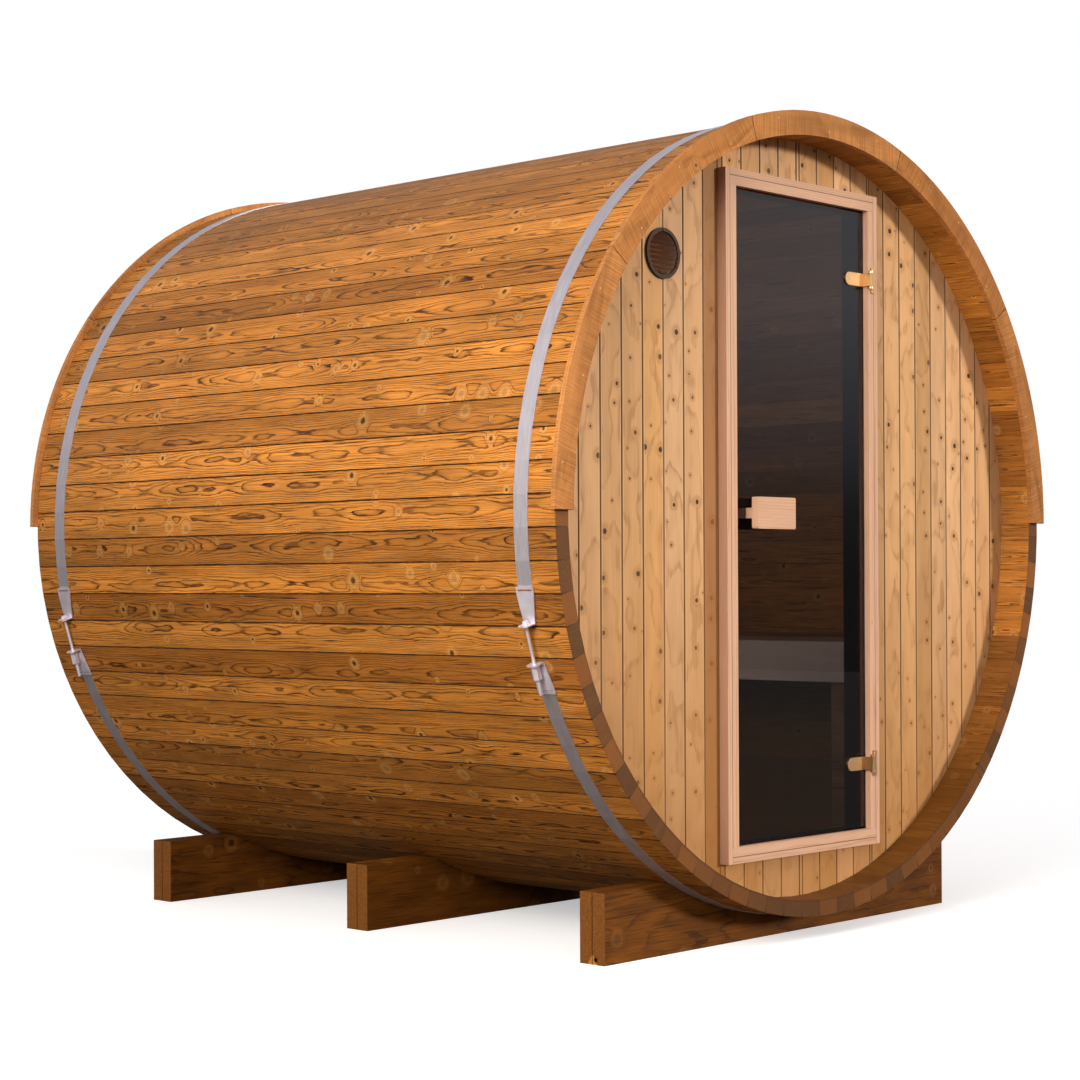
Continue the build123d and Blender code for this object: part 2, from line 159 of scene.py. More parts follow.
def new_material(name):
    """An empty material with its Principled shader wired to the output."""
    material = bpy.data.materials.new(name)
    material.use_nodes = True
    tree = material.node_tree
    tree.nodes.clear()
    shader = add(tree, "BsdfPrincipled")
    add(tree, "OutputMaterial", {"Surface": shader})
    return material, tree, shader


def dress(material, *names):
    """Gives nodes of the frame their material."""
    for name in names:
        slots = nodes[name].data.materials
        slots.clear()
        slots.append(material)
    print(material.name, "on", ", ".join(names))


# %% [markdown]
# Places on a surface, in millimetres
#
# Every pattern reads Object coordinates. As the objects stand at the origin, these are the real places on
# the sauna in metres. Staves need polar places: which stave it is, how far round from its middle, and how
# far out from its outer face, which is less than nothing inside the wood.

# %% Places, distances and grains
def places(tree):
    """Object coordinates in mm as three values."""
    scaled = add(tree, "VectorMath.MULTIPLY", add(tree, "TexCoord").outputs["Object"], (TO_MM,) * 3)
    return add(tree, "SeparateXYZ", scaled).outputs


def distance(tree, first, second):
    """How far away a point is, from how far it lies off in two square directions."""
    squares = add(tree, "Math.MULTIPLY_ADD", first, first, add(tree, "Math.MULTIPLY", second, second))
    return add(tree, "Math.SQRT", squares)


def round_the_axis(tree, x, z, share):
    """For a pattern that repeats round the barrel: which copy, mm across it, and mm out from the face."""
    up = add(tree, "Math.SUBTRACT", z, AXIS_MM)
    angle = add(tree, "Math.ARCTAN2", x, add(tree, "Math.MULTIPLY", up, -1.0))
    turns = add(tree, "Math.DIVIDE", angle, share)
    index = add(tree, "Math.ROUND", turns)
    off = add(tree, "Math.MULTIPLY", add(tree, "Math.SUBTRACT", turns, index), share)
    reach = distance(tree, x, up)
    across = add(tree, "Math.MULTIPLY", reach, add(tree, "Math.SINE", off))
    outwards = add(tree, "Math.MULTIPLY", reach, add(tree, "Math.COSINE", off))
    return index, across, add(tree, "Math.SUBTRACT", outwards, RADIUS_MM)


def grains(tree, along, across, depth, size_mm, detail, roughness):
    """Random grains over a board, with their size in mm along, across and through it."""
    sized = [add(tree, "Math.DIVIDE", value, size) for value, size in zip((along, across, depth), size_mm)]
    return add(tree, "TexNoise", {
        "Vector": add(tree, "CombineXYZ", *sized), "Scale": 1.0, "Detail": detail, "Roughness": roughness})


# %% [markdown]
# Colour in layers
#
# A finish is built up as a painter does it: a base, then thin layers of dust, stain or wear, each where
# its own mask is 1 and as strong as its share says. Shading makes the base lighter or darker by a factor
# instead, which keeps its hue.

# %% Layers and shading
def layer(tree, base, mask, share, over):
    """The base with a colour laid over it, as strongly as a mask times a share."""
    return add(tree, "Mix.RGBA", {"Factor": add(tree, "Math.MULTIPLY", mask, share), "A": base, "B": over})


def shade(tree, base, gain):
    """The base made lighter or darker by a factor."""
    grey = add(tree, "CombineColor", gain, gain, gain)
    return add(tree, "Mix.RGBA", {"Factor": 1.0, "A": base, "B": grey}, blend_type="MULTIPLY")


# %% [markdown]
# Knots
#
# A knot is the foot of a branch, a dark disc with a paler rim that pushes the growth rings aside. Points
# scattered by a Voronoi pattern say where knots may be. The three random numbers that each point has
# decide if there is a knot, how large it is and whether it is dark or pale.

# %% Knots on a board
KNOT_TRUNK_MM = 5300.0


def knots(tree, far_along, across, seed, ripple, look):
    """How far off the nearest knot is, if it is there, its size, and a random number for its tone."""
    cell = look["knot_cell_mm"]
    far_across = add(tree, "Math.MULTIPLY_ADD", seed, KNOT_TRUNK_MM, across)
    place = [add(tree, "Math.DIVIDE", value, cell) for value in (far_along, far_across)]
    cells = add(tree, "TexVoronoi", {
        "Vector": add(tree, "CombineXYZ", *place), "Scale": 1.0, "Randomness": 0.9}, voronoi_dimensions="2D")
    dice = add(tree, "SeparateColor", cells.outputs["Color"]).outputs
    there = add(tree, "Math.LESS_THAN", dice[0], look["knot_share"])
    # most knots are small and a few are large, from 0.35 to 1.15 of the size that the look gives
    size = add(tree, "Math.MULTIPLY_ADD", add(tree, "Math.POWER", dice[1], 2.0), 0.8, 0.35)
    # the ripple of the grain makes the rim ragged, by up to 1.5 mm either way
    real = add(tree, "Math.MULTIPLY", cells.outputs["Distance"], cell)
    ragged = add(tree, "Math.SUBTRACT", add(tree, "Math.MULTIPLY_ADD", ripple, 3.0, real), 1.5)
    return add(tree, "Math.DIVIDE", ragged, size), there, size, dice[2]


# %% [markdown]
# Growth rings
#
# A board is a slice through nested cones of growth rings. Where the slice runs nearly along a ring, in the
# middle of a flat-sawn board, the rings open into long flames, and towards its edges they run as close
# lines. The shader does the same: it works out how far each point lies from the pith, which wanders
# slowly along the tree, and draws a dark line of late wood once for each ring. Real rings in slow-grown
# pine are 2 to 3 mm apart, and so are those of the staves.

# %% Rings round the pith
# the fraction of the seed times this number is a second random number
PITH_DIE = 7.31
LATE_WOOD = (
    (0.0, "#000000"), (0.42, "#000000"), (0.74, "#a0a0a0"), (0.84, "#ffffff"), (0.95, "#ffffff"),
    (1.0, "#000000"),
)


def rings(tree, across, depth, seed, wander, ripple, push, look):
    """1 on the dark line of each ring, round a pith that lies under the board and off its middle."""
    turn = add(tree, "Math.FRACT", add(tree, "Math.MULTIPLY", seed, PITH_DIE))
    shift = add(tree, "Math.MULTIPLY", add(tree, "Math.SUBTRACT", turn, 0.5), look["pith_shift_mm"])
    sideways = add(tree, "Math.SUBTRACT", across, shift)
    radius = distance(tree, sideways, add(tree, "Math.ADD", depth, look["pith_depth_mm"]))
    for bend, rise in ((wander, "wander_rise_mm"), (ripple, "ripple_rise_mm"), (push, "knot_rise_mm")):
        radius = add(tree, "Math.MULTIPLY_ADD", bend, look[rise], radius)
    ring = add(tree, "Math.FRACT", add(tree, "Math.DIVIDE", radius, look["ring_mm"]))
    return add(tree, "ValToRGB", ring, stops=LATE_WOOD)


# %% [markdown]
# A whole board
#
# Rings, resin streaks, knots, fine fibre and slow clouds of tone lie over each other. A seed for each
# board moves it to its own stretch of trunk, far from its neighbours, so no two boards are cut alike.
# The fibres of real wood are far finer than a pixel, so they are drawn about 2 mm wide to show at all.

# %% Wood
TRUNK_MM = 9000.0
TRUNK_DEPTH_MM = 700.0
TONE_DIE = 3.77
PATCH_RANGE = (0.35, 0.68)
STREAK_RANGE = (0.56, 0.66)
# the rim of a knot reaches this much further than its core, and dense late wood has a little more gloss
RIM_REACH = 2.4
LATE_GLOSS = -0.08


def wood(tree, shader, along, across, depth, seed, look):
    """Draws planed or sawn wood from places in mm on the board and a seed for each board."""
    far_along = add(tree, "Math.MULTIPLY_ADD", seed, TRUNK_MM, along)
    board = (far_along, across, add(tree, "Math.MULTIPLY_ADD", seed, TRUNK_DEPTH_MM, depth))
    wander = grains(tree, *board, look["wander_mm"], 3.0, 0.55)
    ripple = grains(tree, *board, look["ripple_mm"], 4.0, 0.65)

    # a knot pushes the rings aside, less and less with the distance from it
    knot_distance, there, size, knot_die = knots(tree, far_along, across, seed, ripple, look)
    near = add(tree, "Math.DIVIDE", knot_distance, look["knot_reach_mm"])
    fall = add(tree, "Math.MULTIPLY", add(tree, "Math.POWER", near, 2.0), -1.0)
    push = add(tree, "Math.MULTIPLY", add(tree, "Math.EXPONENT", fall), there)
    push = add(tree, "Math.MULTIPLY", push, size)

    # the lines of late wood are stronger in some patches, with short dark streaks of resin between them
    line = rings(tree, across, depth, seed, wander, ripple, push, look)
    patches = grains(tree, *board, look["patch_mm"], 2.0, 0.6)
    strength = add(tree, "MapRange", patches, *PATCH_RANGE, look["line_least"], look["line_most"])
    resin = add(tree, "MapRange", grains(tree, *board, look["streak_mm"], 4.0, 0.65), *STREAK_RANGE)
    streak = add(tree, "Math.MULTIPLY", resin, look["streak"])
    late = add(tree, "Math.MAXIMUM", add(tree, "Math.MULTIPLY", line, strength), streak)
    tone_die = add(tree, "Math.FRACT", add(tree, "Math.MULTIPLY", seed, TONE_DIE))
    early = add(tree, "Mix.RGBA", {"Factor": tone_die, "A": look["early"], "B": look["early_other"]})
    body = add(tree, "Mix.RGBA", {"Factor": late, "A": early, "B": look["late"]})

    # a knot has a soft pale rim and a core
    at_rim = add(tree, "Math.DIVIDE", knot_distance, look["knot_mm"] * RIM_REACH)
    rim = add(tree, "ValToRGB", at_rim, stops=((0.15, "#000000"), (0.38, "#ffffff"), (0.75, "#000000")))
    body = layer(tree, body, add(tree, "Math.MULTIPLY", rim, there), look["halo"], look["knot_rim"])
    at_core = add(tree, "Math.DIVIDE", knot_distance, look["knot_mm"])
    core = add(tree, "ValToRGB", at_core, stops=((0.0, "#ffffff"), (0.42, "#ffffff"), (0.62, "#000000")))
    pale = add(tree, "Math.LESS_THAN", knot_die, look["pale_knots"])
    knot_tone = add(tree, "Mix.RGBA", {"Factor": pale, "A": look["knot_core"], "B": look["knot_pale"]})
    body = layer(tree, body, add(tree, "Math.MULTIPLY", core, there), look["knot_dark"], knot_tone)

    # each board has its own tone, and fibre and clouds vary it
    fibre = grains(tree, *board, look["fibre_mm"], 3.0, 0.6)
    cloud = grains(tree, *board, look["cloud_mm"], 2.0, 0.5)
    board_die = add(tree, "TexWhiteNoise", {"W": seed}, noise_dimensions="1D")
    gain = add(tree, "Math.MULTIPLY_ADD", board_die, look["board_range"], 1.0 - look["board_range"] / 2)
    for grain, low, high, swing in (
            (fibre, 0.25, 0.75, look["fibre_range"]), (cloud, 0.3, 0.7, look["cloud_range"])):
        factor = add(tree, "MapRange", grain, low, high, 1.0 - swing, 1.0 + swing)
        gain = add(tree, "Math.MULTIPLY", gain, factor)

    bump = add(tree, "Bump", {"Height": fibre, "Strength": look["bump"], "Distance": 1.0 * MM})
    rough = add(tree, "Math.MULTIPLY_ADD", late, LATE_GLOSS, look["roughness"])
    feed(tree, shader, {"Normal": bump, "Roughness": rough, "Specular IOR Level": look["specular"]})
    return shade(tree, body, gain)


# %% [markdown]
# Staves of heat-treated pine
#
# Heat-treated pine is baked brown right through. Its early wood turns warm orange-brown and its late wood
# almost coffee-coloured, so the flames stand out more than on fresh pine. The staves are planed with a
# bead and a cove, and the joints hold shade and dust, which reads as a dark line between the staves.
# The sawn ends drink more of the oil, so they are darker than the faces, and painted shade darkens the
# inside of the lip low down, and the ends there half as much.

# %% The look of the pine
PINE = dict(
    early="#cc8436", early_other="#a26323", late="#2e1303", knot_rim="#dda964", knot_core="#2a1509",
    knot_pale="#9a7448", pale_knots=0.65, knot_share=0.34,
    ring_mm=2.7, pith_shift_mm=44.0, pith_depth_mm=52.0,
    wander_mm=(520.0, 260.0, 200.0), wander_rise_mm=36.0, ripple_mm=(80.0, 7.0, 11.0), ripple_rise_mm=2.2,
    knot_cell_mm=74.0, knot_reach_mm=16.0, knot_rise_mm=15.0, knot_mm=13.0, knot_dark=0.8, halo=0.36,
    patch_mm=(200.0, 16.0, 40.0), line_least=0.55, line_most=1.0,
    streak_mm=(170.0, 2.6, 6.0), streak=1.0, fibre_mm=(130.0, 1.8, 6.0), fibre_range=0.34,
    cloud_mm=(260.0, 50.0, 60.0), cloud_range=0.18, board_range=0.3,
    bump=0.5, roughness=0.55, specular=0.25,
)
# dust and painted shade in the joints between staves
JOINT_DUST_AND_SHADE = "#2a1508"
print("a board is drawn from", len(PINE), "values")

# %% [markdown]
# The pattern repeats from stave to stave round the axis, and the number of the stave is its seed. Joints,
# ends and painted shade low down are layers over the wood.

# %% Stave material
JOINT_WOBBLE_MM = (45.0, 30.0, 30.0)
JOINT_WAVER_MM = 3.0
END_SPECKLE_MM = (1.5, 1.5, 1.5)
# each of these pairs says where a mask starts and where it is full
JOINT_EDGE_MM = (0.9, -0.2)
NEAR_OUTSIDE_MM = (-9.0, -6.0)
NEAR_INSIDE_MM = (5.0 - STAVE_THICK_MM, 3.0 - STAVE_THICK_MM)
SAWN_END_MM = (BARREL_END_MM - 1.2, BARREL_END_MM - 0.6)
# these two say where painted shade darkens the inside of the lip low down
LIP_SHADE_DEPTH_MM = (8.0 - STAVE_THICK_MM, 4.0 - STAVE_THICK_MM)
LIP_SHADE_HEIGHT_MM = (900.0, 350.0)


def stave_material():
    material, tree, shader = new_material("heat_treated_pine")
    x, y, z = places(tree)
    index, across, depth = round_the_axis(tree, x, z, STAVE_PITCH)
    seed = add(tree, "TexWhiteNoise", {"W": index}, noise_dimensions="1D")
    base = wood(tree, shader, y, across, depth, seed, PINE)

    # a ragged line of painted shade and dust along the joints, near the faces: on the ends the joint itself
    # shows
    wobble = grains(tree, y, across, depth, JOINT_WOBBLE_MM, 3.0, 0.7)
    from_joint = add(tree, "Math.SUBTRACT", HALF_STAVE_MM, add(tree, "Math.ABSOLUTE", across))
    ragged = add(tree, "Math.MULTIPLY_ADD", wobble, -JOINT_WAVER_MM, from_joint)
    joint = add(tree, "MapRange", ragged, *JOINT_EDGE_MM)
    outside = add(tree, "MapRange", depth, *NEAR_OUTSIDE_MM)
    inside = add(tree, "MapRange", depth, *NEAR_INSIDE_MM)
    shown = add(tree, "Math.MULTIPLY", joint, add(tree, "Math.MAXIMUM", outside, inside))
    base = layer(tree, base, shown, 0.92, JOINT_DUST_AND_SHADE)

    # the sawn ends, each in its own tone
    from_middle = add(tree, "Math.ABSOLUTE", y)
    end = add(tree, "MapRange", from_middle, *SAWN_END_MM)
    speckle = add(tree, "Math.MULTIPLY", grains(tree, x, y, z, END_SPECKLE_MM, 3.0, 0.7), 0.5)
    end_mix = add(tree, "Math.MULTIPLY_ADD", seed, 0.5, speckle)
    end_tone = add(tree, "ValToRGB", end_mix, stops=((0.2, "#2c1603"), (0.8, "#8c5012")))
    base = layer(tree, base, end, 0.85, end_tone)
    # painted shade and dust in the joints across the sawn ends
    base = layer(tree, base, add(tree, "Math.MULTIPLY", joint, end), 0.7, JOINT_DUST_AND_SHADE)

    # painted shade on the inside of the lip and, half as much, on the ends, low down
    lip = add(tree, "MapRange", depth, *LIP_SHADE_DEPTH_MM)
    lip = add(tree, "Math.MAXIMUM", lip, add(tree, "Math.MULTIPLY", end, 0.5))
    lip_shade = add(tree, "Math.MULTIPLY", lip, add(tree, "MapRange", z, *LIP_SHADE_HEIGHT_MM))
    feed(tree, shader, {"Base Color": layer(tree, base, lip_shade, 0.75, "#4c2a03")})
    return material


dress(stave_material(), *[name for name in nodes if name.startswith("staves_")])

# %% [markdown]
# Curved boards on the barrel's ends
#
# The ring that covers the stave ends is cut from five wide boards at each end, left rough from the saw.
# The blade leaves fine ridges square to the grain, and the raw surface looks redder and flatter than a
# planed one. Each board has its own grain direction, along the middle of its arc, so the shader turns its
# places by the board's angle before it draws the wood. Through the saw marks only the widest rings show,
# so these are drawn 9 mm apart.

# %% Fascia material
FASCIA_BOARDS = 5
FASCIA_SHARE = math.pi / FASCIA_BOARDS
NAIL_SHARE = FASCIA_SHARE / 3
NAIL_IN_MM = 2.0
NAIL_ROWS_MM = 28.0
SAW_RIDGE_MM = (2.2, 130.0, 60.0)
SAW_SHADES = (0.35, 0.7, 0.68, 1.3)
BUTT_EDGE_MM = (1.6, 0.7)
NAIL_EDGE_MM = (2.6, 1.6)
SAWN = dict(
    PINE, early="#c08249", early_other="#b2733b", late="#7e4820", knot_rim="#c8996a", knot_core="#50301c",
    ring_mm=9.0, line_least=0.05, line_most=0.45, knot_cell_mm=120.0, knot_mm=9.0, board_range=0.16,
    fibre_range=0.12, bump=0.5, roughness=0.8, streak=0.15, specular=0.2,
)


def fascia_material():
    material, tree, shader = new_material("rough_sawn_pine")
    x, y, z = places(tree)
    # the half ring holds five boards, one of them centred on the crown, and the two ends differ
    index, across, depth = round_the_axis(tree, x, z, FASCIA_SHARE)
    board = add(tree, "Math.ROUND", add(tree, "Math.MULTIPLY_ADD", y, 0.01, index))
    seed = add(tree, "TexWhiteNoise", {"W": board}, noise_dimensions="1D")
    base = wood(tree, shader, across, depth, y, seed, SAWN)
    saw = grains(tree, across, depth, y, SAW_RIDGE_MM, 3.0, 0.65)
    base = shade(tree, base, add(tree, "MapRange", saw, *SAW_SHADES))

    # the butt joints between boards run straight out from the axis
    reach = add(tree, "Math.ADD", depth, RADIUS_MM)
    outwards = add(tree, "Math.MULTIPLY", reach, math.sin(FASCIA_SHARE / 2))
    sideways = add(tree, "Math.ABSOLUTE", across)
    butt = add(tree, "Math.MULTIPLY_ADD", sideways, -math.cos(FASCIA_SHARE / 2), outwards)
    base = layer(tree, base, add(tree, "MapRange", butt, *BUTT_EDGE_MM), 0.85, "#3c210f")

    # nails in two rows, driven just under the surface, with pale filler in each hole
    spot, spot_across, spot_depth = round_the_axis(tree, x, z, NAIL_SHARE)
    second_row = add(tree, "Math.ABSOLUTE", add(tree, "Math.MODULO", spot, 2.0))
    from_rim = add(tree, "Math.ADD", spot_depth, NAIL_IN_MM)
    from_row = add(tree, "Math.MULTIPLY_ADD", second_row, NAIL_ROWS_MM, from_rim)
    nail = add(tree, "MapRange", distance(tree, spot_across, from_row), *NAIL_EDGE_MM)
    feed(tree, shader, {"Base Color": layer(tree, base, nail, 0.7, "#e0bd95")})
    return material


dress(fascia_material(), "fascia_front", "fascia_back")

# %% [markdown]
# End walls of matched spruce boards
#
# The end walls are tongue-and-groove boards of light spruce, about 76 mm wide, with both long edges
# eased, so each joint is a small V with a dark bottom and a bright lip. The frame holds each stretch of
# wall as one slab. A copy of the slab is cut at every joint, the cuts are closed and the edges bevelled:
# cutting keeps the curved ends and the door opening exactly where the frame has them.

# %% Cut a board out of a wall
LEFT_PITCH = 76.6 * MM
RIGHT_PITCH = 75.2 * MM
STRIP_LEFT = 0.6 * MM
STRIP_RIGHT = 13.5 * MM
BOARD_GAP = 0.6 * MM
BOARD_EDGE = 3.2 * MM
LEAST_BOARD = 4 * MM
MOST_BOARDS = 20
SAME_PLACE = 1e-6


def board_joints(low, high):
    """The x places of the joints between two limits: even boards to each side of a narrow middle strip."""
    found = [STRIP_LEFT - k * LEFT_PITCH for k in range(MOST_BOARDS, -1, -1)]
    found += [STRIP_RIGHT + k * RIGHT_PITCH for k in range(MOST_BOARDS)]
    return [low] + [x for x in found if low + LEAST_BOARD < x < high - LEAST_BOARD] + [high]


def whole_slab(name):
    """A copy of a wall's mesh with its triangles merged into flat faces."""
    shape = bmesh.new()
    shape.from_mesh(nodes[name].data)
    bmesh.ops.remove_doubles(shape, verts=shape.verts, dist=SAME_PLACE)
    bmesh.ops.dissolve_limit(shape, angle_limit=math.radians(1), verts=shape.verts, edges=shape.edges)
    slab = bpy.data.meshes.new("slab")
    shape.to_mesh(slab)
    shape.free()
    return slab


def is_long_edge(edge, sides):
    """Whether an edge stands upright on one of the two cut sides."""
    start, end = (v.co for v in edge.verts)
    on_side = min(abs(start.x - x) for x in sides) < 10 * SAME_PLACE and abs(start.x - end.x) < SAME_PLACE
    return on_side and abs(start.z - end.z) > 10 * MM and abs(start.y - end.y) < SAME_PLACE


def one_board(slab, left, right):
    """The stretch of a slab between two joints, closed at its cuts and eased along its long edges."""
    sides = (left + BOARD_GAP / 2, right - BOARD_GAP / 2)
    board = bmesh.new()
    board.from_mesh(slab)
    for place, outwards in zip(sides, (-1, 1)):
        whole = list(board.verts) + list(board.edges) + list(board.faces)
        cut = bmesh.ops.bisect_plane(
            board, geom=whole, dist=SAME_PLACE, plane_co=(place, 0, 0), plane_no=(outwards, 0, 0),
            clear_outer=True)
        bmesh.ops.holes_fill(board, edges=[e for e in cut["geom_cut"] if isinstance(e, bmesh.types.BMEdge)])
    bmesh.ops.recalc_face_normals(board, faces=board.faces)
    if right - left > 3 * BOARD_EDGE:
        bmesh.ops.bevel(
            board, geom=[e for e in board.edges if is_long_edge(e, sides)], offset=BOARD_EDGE,
            offset_type="OFFSET", segments=2, profile=0.5, affect="EDGES", material=-1, clamp_overlap=True)
    part = bpy.data.meshes.new("part")
    board.to_mesh(part)
    board.free()
    return part


# %% [markdown]
# A wall of boards as one piece
#
# All boards of a wall are joined in one piece, which stands for the slab. Every face carries three
# numbers for the shader: a seed that gives each board its own tone and knots, where its middle is, for
# the grain to be centred on it, and half its width, for the shade in the joints.

# %% Put the boards of each wall together
BOARD_FACTS = ("board_seed", "board_middle", "board_half")
FRONT_SEED = 0.4


def new_object(name, shape):
    """Turns a finished bmesh into an object at the origin."""
    mesh = bpy.data.meshes.new(name)
    shape.to_mesh(mesh)
    shape.free()
    thing = bpy.data.objects.new(name, mesh)
    bpy.context.scene.collection.objects.link(thing)
    return thing


def board_wall(name):
    """A piece with the slab of one wall node cut into boards."""
    slab = whole_slab(name)
    low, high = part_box(name)
    joints = board_joints(low[0], high[0])
    end_seed = low[1] if "back" in name else FRONT_SEED
    wall = bmesh.new()
    seed, middle, half = (wall.faces.layers.float.new(fact) for fact in BOARD_FACTS)
    for left, right in zip(joints, joints[1:]):
        part = one_board(slab, left, right)
        before = len(wall.faces)
        wall.from_mesh(part)
        wall.faces.ensure_lookup_table()
        bpy.data.meshes.remove(part)
        for face in wall.faces[before:]:
            face[seed] = ((left + 3.0) * 7.13 + end_seed * 3.1) % 1.0
            face[middle] = (left + right) / 2
            face[half] = (right - left) / 2
    bpy.data.meshes.remove(slab)
    piece = new_object(name + "_boards", wall)
    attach(piece, "cabin")
    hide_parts(name)
    print(name, len(joints) - 1, "boards,", len(piece.data.polygons), "faces")
    return piece


wall_pieces = [board_wall(name) for name in nodes if name.startswith(("front_wall", "back_wall"))]

# %% [markdown]
# The look of the wall boards
#
# Spruce is pale straw-yellow with quiet grain and small dark knots. The boards are drawn from their own
# three numbers. The board to the left of the door frame is painted darker as the casing's shade, and
# painted shade browns the wall low down.

# %% Wall board material
SPRUCE = dict(
    PINE, early="#ddae80", early_other="#cf9c63", late="#94602c", knot_rim="#ad7434", knot_core="#27150b",
    knot_pale="#5d3a1e", pale_knots=0.35, knot_share=0.46,
    ring_mm=3.4, wander_rise_mm=34.0, ripple_rise_mm=1.4, knot_cell_mm=60.0, knot_mm=13.0, knot_reach_mm=9.0,
    knot_rise_mm=9.0, knot_dark=0.95, halo=0.45, line_least=0.12, line_most=0.55, board_range=0.26,
    fibre_range=0.09, cloud_range=0.08, bump=0.12, roughness=0.5, streak=0.12,
)
# the middle of the board beside the left casing, which is painted darker as shade
SHADED_BOARD_MIDDLE = -0.345
LIP_EDGE_MM = (7.0, 4.6)
GROOVE_EDGE_MM = (4.3, 2.2)
# painted shade darkens the wall below these heights
WALL_SHADE_HEIGHT_MM = (1100.0, 250.0)


def wall_material():
    material, tree, shader = new_material("planed_spruce")
    x, y, z = places(tree)
    seed, middle, half = (add(tree, "Attribute", attribute_name=fact).outputs["Fac"] for fact in BOARD_FACTS)
    across = add(tree, "Math.SUBTRACT", x, add(tree, "Math.MULTIPLY", middle, TO_MM))
    base = wood(tree, shader, z, across, y, seed, SPRUCE)
    # the V between two boards: a painted highlight on its lips, and dust with painted shade in its dark
    # bottom
    half_mm = add(tree, "Math.MULTIPLY", half, TO_MM)
    from_joint = add(tree, "Math.SUBTRACT", half_mm, add(tree, "Math.ABSOLUTE", across))
    base = layer(tree, base, add(tree, "MapRange", from_joint, *LIP_EDGE_MM), 0.4, "#f0cda0")
    base = layer(tree, base, add(tree, "MapRange", from_joint, *GROOVE_EDGE_MM), 0.85, "#633a19")
    # painted shade on the board beside the left casing, and painted shade on the wall low down
    off = add(tree, "Math.ABSOLUTE", add(tree, "Math.SUBTRACT", middle, SHADED_BOARD_MIDDLE))
    base = layer(tree, base, add(tree, "Math.LESS_THAN", off, LEFT_PITCH / 2), 0.7, "#8a5620")
    base = layer(tree, base, add(tree, "MapRange", z, *WALL_SHADE_HEIGHT_MM), 0.6, "#a56c2c")
    feed(tree, shader, {"Base Color": base})
    return material


spruce = wall_material()
for piece in wall_pieces:
    piece.data.materials.append(spruce)
print(spruce.name, "on", len(wall_pieces), "walls")

# %% [markdown]
# Door frame and handle of planed alder
#
# The casing, the rails round the glass and both handle plates are one pale, slightly pink wood, planed and
# sanded smooth. Its grain is fine and quiet, so the finish is mostly a soft colour with thin fibre lines.
# Upright and level members need the grain turned, so there is one material for each direction. The
# linings have their own: the rebate behind the pane is near-black, so that the tinted glass ends in a
# dark border.

# %% Frame and handle materials
ALDER = dict(
    PINE, early="#dbb196", early_other="#d6a98b", late="#a8744f", knot_rim="#d9a98a", knot_core="#6a3a28",
    knot_pale="#8a5a40", knot_share=0.25, ring_mm=6.0, wander_rise_mm=14.0,
    ripple_rise_mm=1.5, knot_cell_mm=260.0, knot_mm=4.0, knot_reach_mm=9.0, knot_rise_mm=4.0, halo=0.2,
    line_least=0.1, line_most=0.5, board_range=0.06, fibre_mm=(60.0, 1.8, 6.0),
    streak=0.12, fibre_range=0.08, cloud_range=0.05, bump=0.08, roughness=0.5,
)
CASING_HALF_MM = -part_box("casing_left")[0][0] * TO_MM
# where the painted shade on the casing's outer side faces starts and where it is full
CASING_SHADE_EDGE_MM = (CASING_HALF_MM - 1.0, CASING_HALF_MM - 0.4)
SHADOW_EDGE_MM = (1.7, 0.9)
LINING_HALF_MM = -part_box("lining_left")[0][0] * TO_MM
LINING_TOP_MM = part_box("lining_head")[1][2] * TO_MM
LINING_FOOT_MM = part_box("lining_sill")[0][2] * TO_MM
PANE_FRONT_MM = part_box("door_glass")[0][1] * TO_MM
REBATE_EDGE_MM = (PANE_FRONT_MM - 0.2, PANE_FRONT_MM + 0.2)


def frame_material(name, upright, seed, dark_rebate):
    material, tree, shader = new_material(name)
    x, y, z = places(tree)
    if upright:
        along, across, middle, half = z, x, 0.0, LINING_HALF_MM
    else:
        along, across = x, z
        middle, half = (LINING_TOP_MM + LINING_FOOT_MM) / 2, (LINING_TOP_MM - LINING_FOOT_MM) / 2
    base = wood(tree, shader, along, across, y, seed, ALDER)
    # the fine shadow line where the casing is planted on the lining
    from_middle = add(tree, "Math.ABSOLUTE", add(tree, "Math.SUBTRACT", across, middle))
    off = add(tree, "Math.ABSOLUTE", add(tree, "Math.SUBTRACT", from_middle, half))
    base = layer(tree, base, add(tree, "MapRange", off, *SHADOW_EDGE_MM), 0.75, "#7a5138")
    # painted shade on the outer side faces of the casing
    outer = add(tree, "MapRange", add(tree, "Math.ABSOLUTE", x), *CASING_SHADE_EDGE_MM)
    base = layer(tree, base, outer, 0.5, "#8f5a38")
    if dark_rebate:
        # the lining behind the pane is near-black
        behind = add(tree, "MapRange", y, *REBATE_EDGE_MM)
        base = layer(tree, base, behind, 1.0, "#0c0810")
    feed(tree, shader, {"Base Color": base})
    return material


level_alder = frame_material("planed_alder_level", False, 0.74, False)
dress(frame_material("planed_alder_upright", True, 0.31, False), "casing_left", "casing_right")
dress(level_alder, "casing_head", "casing_sill", "handle_outer", "handle_inner", "handle_stubs")
dress(frame_material("lining_dark_rebate_upright", True, 0.52, True), "lining_left", "lining_right")
dress(frame_material("lining_dark_rebate_level", False, 0.16, True), "lining_head", "lining_sill")

# %% [markdown]
# Door of tinted glass
#
# The door is one sheet of toughened glass, tinted right through, so the room behind it looks dim and the
# daylight lies on it as a pale haze. A Principled shader with full transmission and a tinted colour does
# this, because light is coloured once on entering and once on leaving. The tint itself is a cool grey:
# the brown wood behind the glass makes it look bronze. Fine smears vary the roughness a little.

